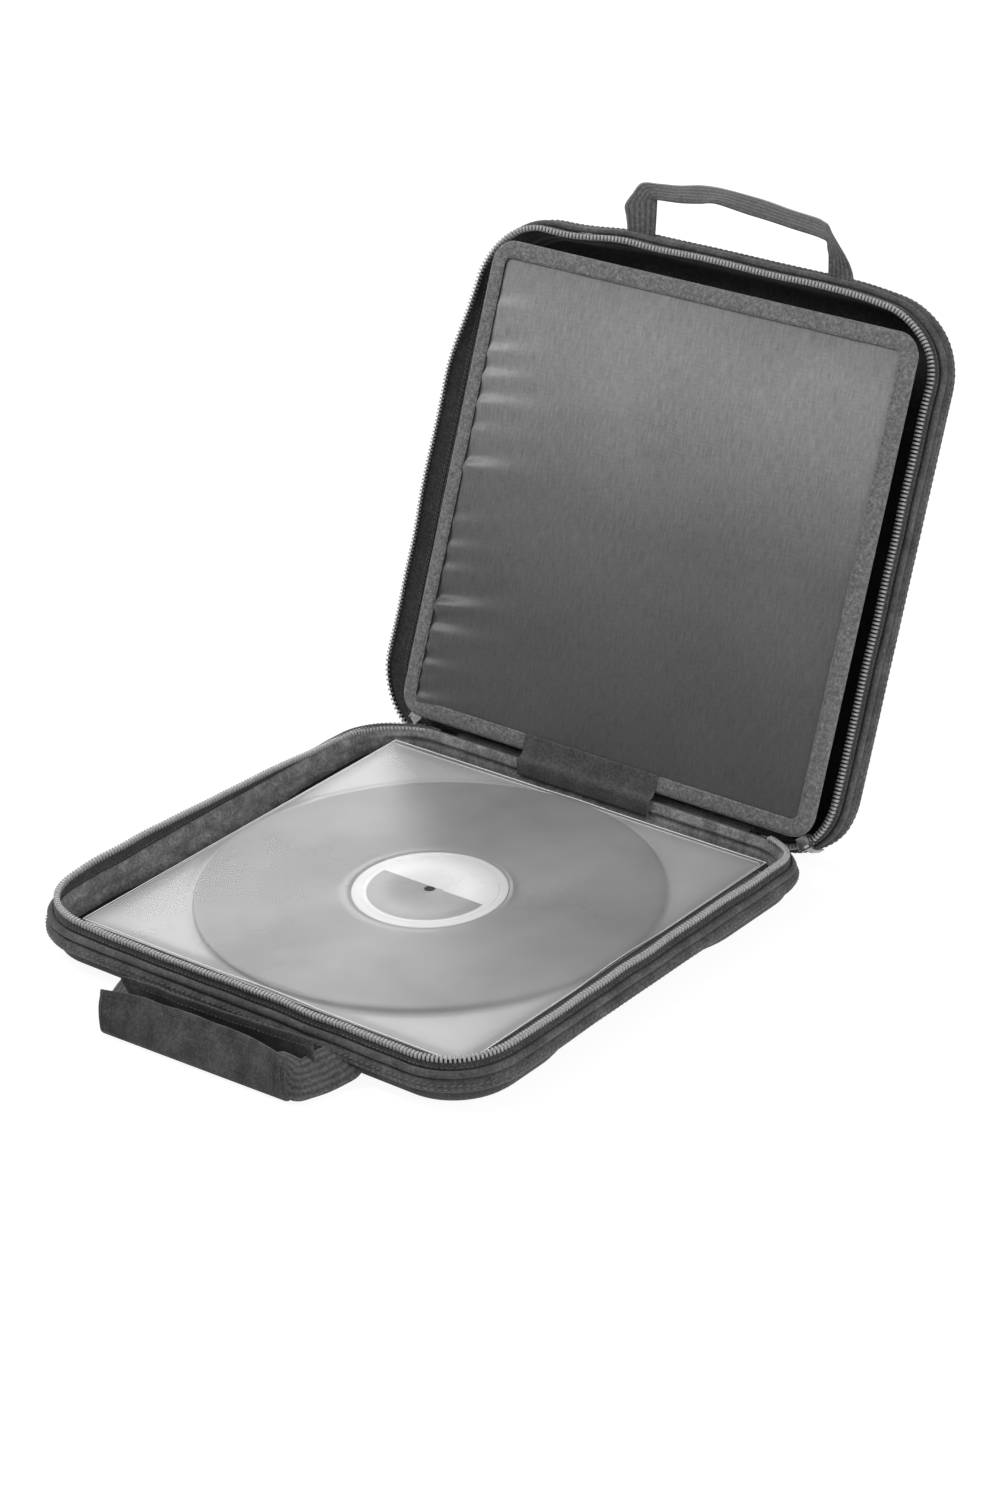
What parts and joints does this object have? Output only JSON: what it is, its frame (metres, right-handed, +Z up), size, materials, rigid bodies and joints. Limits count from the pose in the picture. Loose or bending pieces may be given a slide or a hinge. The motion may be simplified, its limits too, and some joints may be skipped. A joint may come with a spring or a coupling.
{
  "type": "record carrying case",
  "caption": "Soft square zipped case for 12-inch records, standing open, with an inner panel, webbing handles, a hook-and-loop handle wrap and sleeved records inside",
  "frame": {"origin": "centre of the base's flat underside, on the floor", "axes": "+X right along the hinge, +Y back towards the lid, +Z up"},
  "size_m": [0.369, 0.5893, 0.3851],
  "materials": {
    "case_fabric": "woven nylon",
    "rim_fabric": "woven nylon over a padded rim",
    "zip_tape": "woven tape",
    "zip_coil": "moulded coil",
    "webbing": "ribbed webbing",
    "wrap_fabric": "woven nylon, padded",
    "hook_tape": "hook tape",
    "loop_tape": "loop tape",
    "hinge_fabric": "woven nylon",
    "binding_tape": "woven binding",
    "panel_cloth": "satin-faced cloth over a board",
    "vinyl": "pressed record",
    "label_paper": "plain paper",
    "clear_sleeve": "clear film",
    "lower_sleeves": "clear film over records",
    "zip_metal": "dark plated metal"
  },
  "bodies": {
    "base": {"base_shell": "case_fabric", "base_rim_piping": "rim_fabric", "base_zip_tape": "zip_tape", "base_zip_coil": "zip_coil", "base_handle_strap": "webbing", "handle_wrap": "wrap_fabric", "wrap_hook_tape": "hook_tape", "wrap_loop_tape": "loop_tape", "hinge_cloth": "hinge_fabric", "panel_tab": "binding_tape", "record": "vinyl", "record_label": "label_paper", "record_sleeve": "clear_sleeve", "sleeved_record_1": "lower_sleeves", "sleeved_record_2": "lower_sleeves", "sleeved_record_3": "lower_sleeves"},
    "lid": {"lid_shell": "case_fabric", "lid_rim_piping": "rim_fabric", "lid_zip_tape": "zip_tape", "lid_zip_coil": "zip_coil", "lid_handle": "webbing", "zip_slider_left": "zip_metal", "zip_slider_right": "zip_metal"},
    "panel": {"panel_board": "panel_cloth", "panel_binding": "binding_tape"},
    "pull_left": {"slider_pull_left": "zip_metal"},
    "pull_right": {"slider_pull_right": "zip_metal"}
  },
  "joints": [
    {"name": "lid_hinge", "type": "hinge", "parent": "base", "child": "lid", "pos_m": [0, 0.173, 0.0205], "axis": [1, 0, 0], "range_deg": [0, 112], "deforming": ["hinge_cloth"]},
    {"name": "panel_hinge", "type": "hinge", "parent": "base", "child": "panel", "pos_m": [0, 0.173, 0.0205], "axis": [1, 0, 0], "range_deg": [0, 112], "deforming": ["panel_tab"]},
    {"name": "pull_left_hinge", "type": "hinge", "parent": "lid", "child": "pull_left", "pos_m": [-0.16473, 0.18724, 0.01732], "axis": [-0.766, 0.2408, 0.596], "range_deg": [0, 60]},
    {"name": "pull_right_hinge", "type": "hinge", "parent": "lid", "child": "pull_right", "pos_m": [0.16473, 0.18724, 0.01732], "axis": [-0.766, -0.2408, -0.596], "range_deg": [0, 60]}
  ],
  "couplings": [
    {"joint": "panel_hinge", "follows": "lid_hinge", "ratio": 1}
  ]
}
